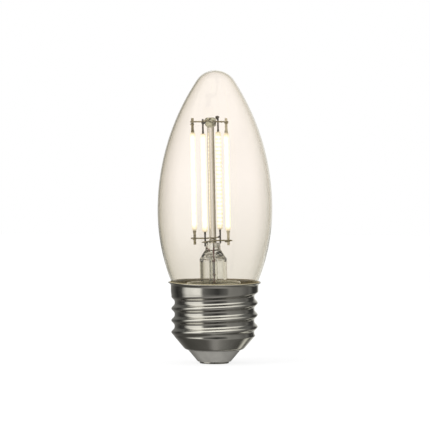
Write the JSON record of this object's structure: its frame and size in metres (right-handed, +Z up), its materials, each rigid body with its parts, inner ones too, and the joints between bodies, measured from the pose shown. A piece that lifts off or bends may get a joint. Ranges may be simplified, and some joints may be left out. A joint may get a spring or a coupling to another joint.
{
  "type": "led filament candle bulb",
  "caption": "Candle-shaped LED filament lamp: clear cream glass, glowing strips on a glass stem, nickel screw cap with a grey insulator",
  "frame": {"origin": "centre of the end contact's flat face, on the cap's axis", "axes": "+Z runs up the cap's axis to the nose of the glass, +X to the right as the picture shows the lamp, +Y away from the viewer"},
  "size_m": [0.0348, 0.0348, 0.0893],
  "materials": {
    "clear_glass": "clear",
    "stem_glass": "clear",
    "nickel_wire": "drawn",
    "red_seal_wire": "matte",
    "outer_wire": "drawn",
    "glowing_strip": "satin",
    "tab_metal": "satin",
    "nickel_cap": "bright plated",
    "cement": "matte",
    "insulator_grey": "matte",
    "contact_metal": "satin",
    "board_laminate": "matte",
    "moulded_black": "matte",
    "capacitor_sleeve": "gloss",
    "resistor_lacquer": "gloss"
  },
  "bodies": {
    "root": {"glass_envelope": "clear_glass", "stem_flare": "stem_glass", "exhaust_tube": "stem_glass", "centre_post": "stem_glass", "top_wire_low": "nickel_wire", "top_wire_high": "nickel_wire", "cross_wire_front": "nickel_wire", "cross_wire_back": "nickel_wire", "inner_lead_front": "nickel_wire", "inner_lead_back": "nickel_wire", "seal_wire_front": "red_seal_wire", "seal_wire_back": "red_seal_wire", "outer_lead_front": "outer_wire", "outer_lead_back": "outer_wire", "strip_right": "glowing_strip", "strip_back": "glowing_strip", "strip_left": "glowing_strip", "strip_front": "glowing_strip", "tab_top_right": "tab_metal", "tab_top_back": "tab_metal", "tab_top_left": "tab_metal", "tab_top_front": "tab_metal", "tab_bottom_right": "tab_metal", "tab_bottom_back": "tab_metal", "tab_bottom_left": "tab_metal", "tab_bottom_front": "tab_metal", "cap_shell": "nickel_cap", "neck_cement": "cement", "cap_insulator": "insulator_grey", "end_contact": "contact_metal", "driver_board": "board_laminate", "bridge_rectifier": "moulded_black", "driver_chip": "moulded_black", "storage_capacitor": "capacitor_sleeve", "fuse_resistor": "resistor_lacquer", "sense_resistor": "moulded_black", "live_wire": "outer_wire", "neutral_wire": "outer_wire"}
  },
  "joints": []
}
